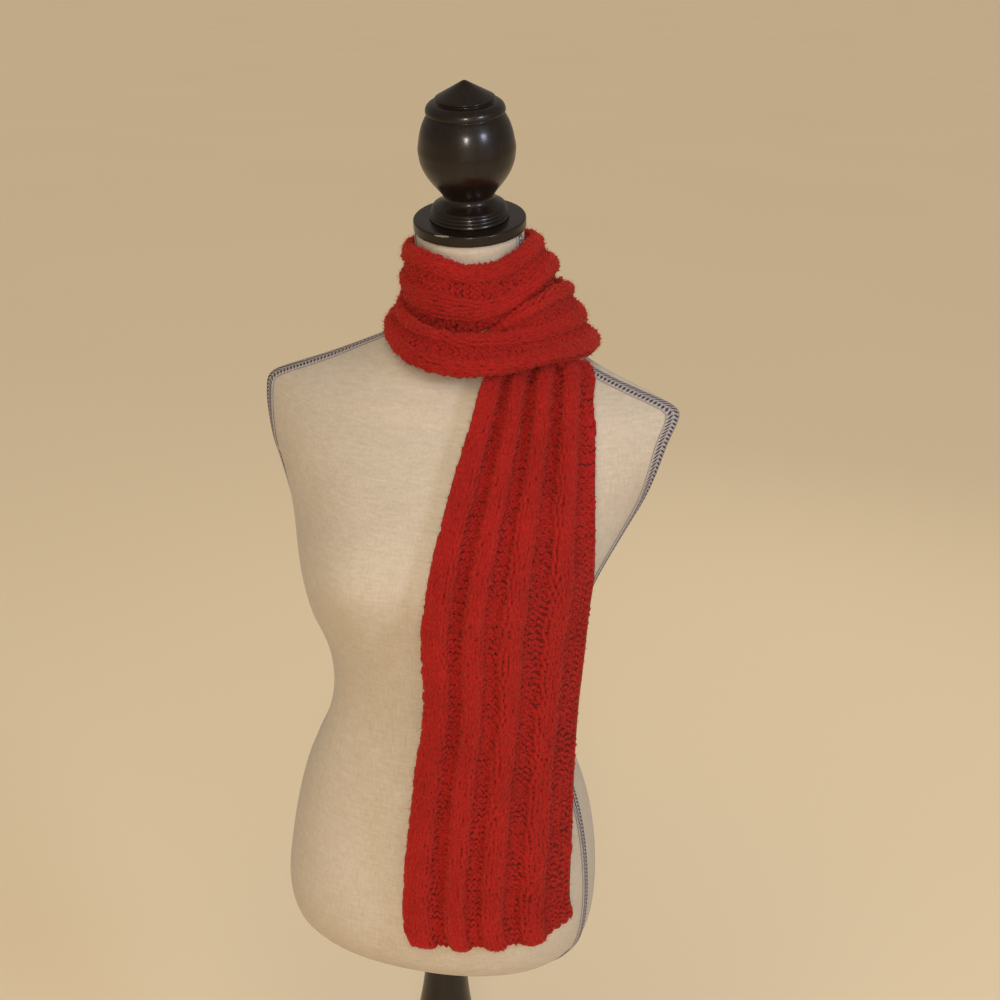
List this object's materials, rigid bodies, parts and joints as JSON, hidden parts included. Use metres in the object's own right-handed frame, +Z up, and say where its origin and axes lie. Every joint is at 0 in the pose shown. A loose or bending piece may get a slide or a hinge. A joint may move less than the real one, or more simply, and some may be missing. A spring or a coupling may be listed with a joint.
{
  "type": "knit scarf on a dress form",
  "caption": "Wide-rib knit scarf wound round the neck of a limbless linen-covered dress form, its tails hanging at front and back, on a turned wooden post and round base.",
  "frame": {"origin": "centre of the round base's underside, on the floor", "axes": "+Z up, the form faces -Y, +X towards the form's left shoulder"},
  "size_m": [0.3988, 0.3102, 1.4232],
  "materials": {
    "wool": "matt, fuzzy hand knit",
    "linen": "matt natural linen",
    "seam_tape": "matt woven tape",
    "dark_turned_wood": "dark lacquer"
  },
  "bodies": {
    "root": {"scarf_front_tail": "wool", "scarf_inner_wrap": "wool", "scarf_nape_pass": "wool", "scarf_outer_wrap": "wool", "scarf_back_tail": "wool", "form_torso": "linen", "form_tape_left": "seam_tape", "form_tape_right": "seam_tape", "form_neck_plate": "dark_turned_wood", "form_finial": "dark_turned_wood", "form_post": "dark_turned_wood", "form_base": "dark_turned_wood"}
  },
  "joints": []
}
